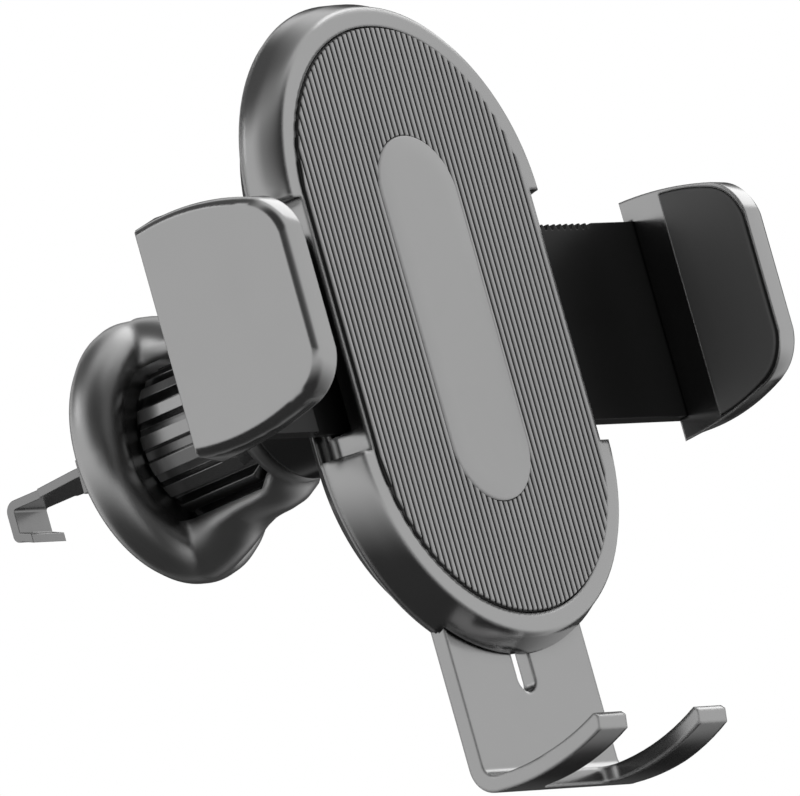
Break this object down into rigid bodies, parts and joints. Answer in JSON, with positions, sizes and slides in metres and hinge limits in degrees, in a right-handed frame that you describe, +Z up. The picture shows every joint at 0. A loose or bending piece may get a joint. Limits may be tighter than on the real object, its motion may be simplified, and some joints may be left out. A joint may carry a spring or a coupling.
{
  "type": "air vent phone holder",
  "caption": "Air vent phone holder: an upright oval head with sliding spring-open jaws, a geared foot that closes them, a ball joint and a louvre hook clip.",
  "frame": {"origin": "centre of the rubber ring's rear face, where the clip rests on the air vent", "axes": "+Y into the vent along the clip's axis, +Z up along the head, the phone leans on the head's front, which faces -Y"},
  "size_m": [0.105, 0.0925, 0.1079],
  "materials": {
    "plated_shell": "satin gunmetal plating over moulded plastic",
    "plated_back": "satin dark grey moulded plastic",
    "plated_steel": "grey plated steel strip",
    "black_plastic": "fine satin black moulding",
    "black_rubber": "smooth dark silicone",
    "grey_rubber": "grey silicone, ribbed round a smooth panel",
    "nylon": "natural white acetal",
    "screw_steel": "plain zinc plated steel",
    "spring_steel": "drawn wire"
  },
  "bodies": {
    "clip": {"clip_body": "plated_shell", "vent_pad": "black_rubber"},
    "collar": {"socket_nut": "plated_shell"},
    "seat": {"ball_seat": "nylon"},
    "stud": {"ball_stud": "black_plastic", "stud_screw": "screw_steel"},
    "head": {"front_cover": "plated_shell", "rear_cover": "plated_back", "grip_pad": "grey_rubber", "cover_screws": "screw_steel", "left_pinion_pin": "screw_steel", "right_pinion_pin": "screw_steel", "left_return_spring": "spring_steel", "right_return_spring": "spring_steel"},
    "foot_fork": {"foot": "plated_shell"},
    "right_jaw": {"right_arm": "black_plastic", "right_jaw_shell": "plated_shell", "right_jaw_pad": "black_rubber"},
    "left_jaw": {"left_arm": "black_plastic", "left_jaw_shell": "plated_shell", "left_jaw_pad": "black_rubber"},
    "right_gear": {"right_pinion": "nylon"},
    "left_gear": {"left_pinion": "nylon"},
    "knob": {"tightening_knob": "black_plastic"},
    "louvre_clamp": {"hook": "plated_steel", "hook_stem": "black_plastic"}
  },
  "joints": [
    {"name": "collar_turn", "type": "hinge", "parent": "clip", "child": "collar", "pos_m": [0, -0.0317, 0], "axis": [0, 1, 0], "range_deg": [0, 90]},
    {"name": "socket_swivel", "type": "hinge", "parent": "clip", "child": "seat", "pos_m": [0, -0.0317, 0], "axis": [0, 1, 0], "continuous": true},
    {"name": "head_tilt", "type": "hinge", "parent": "seat", "child": "stud", "pos_m": [0, -0.0317, 0], "axis": [1, 0, 0], "range_deg": [-25, 25]},
    {"name": "head_roll", "type": "hinge", "parent": "stud", "child": "head", "pos_m": [0, -0.0317, 0], "axis": [0, 1, 0], "continuous": true},
    {"name": "foot_slide", "type": "slide", "parent": "head", "child": "foot_fork", "axis": [0, 0, -1], "range_m": [0, 0.009], "stiffness_N_per_m": 60, "springref_m": -0.01, "deforming": ["left_return_spring", "right_return_spring"]},
    {"name": "right_arm_slide", "type": "slide", "parent": "head", "child": "right_jaw", "axis": [-1, 0, 0], "range_m": [0, 0.018]},
    {"name": "left_arm_slide", "type": "slide", "parent": "head", "child": "left_jaw", "axis": [1, 0, 0], "range_m": [0, 0.018]},
    {"name": "right_pinion_spin", "type": "hinge", "parent": "head", "child": "right_gear", "pos_m": [0.00929, -0.0482, 0.01983], "axis": [0, 1, 0], "range_deg": [0, 190.5]},
    {"name": "left_pinion_spin", "type": "hinge", "parent": "head", "child": "left_gear", "pos_m": [-0.00929, -0.0482, 0.01983], "axis": [0, 1, 0], "range_deg": [-190.5, 0]},
    {"name": "knob_spin", "type": "hinge", "parent": "clip", "child": "knob", "pos_m": [0, -0.0144, 0], "axis": [0, 1, 0], "range_deg": [0, 1150]},
    {"name": "hook_draw", "type": "slide", "parent": "clip", "child": "louvre_clamp", "axis": [0, -1, 0], "range_m": [0, 0.008]}
  ],
  "couplings": [
    {"joint": "right_arm_slide", "follows": "foot_slide", "ratio": 2},
    {"joint": "left_arm_slide", "follows": "foot_slide", "ratio": 2},
    {"joint": "right_pinion_spin", "follows": "foot_slide", "rad_per_m": 369.23},
    {"joint": "left_pinion_spin", "follows": "foot_slide", "rad_per_m": -369.23},
    {"joint": "hook_draw", "follows": "knob_spin", "m_per_rad": 0.00039789}
  ]
}
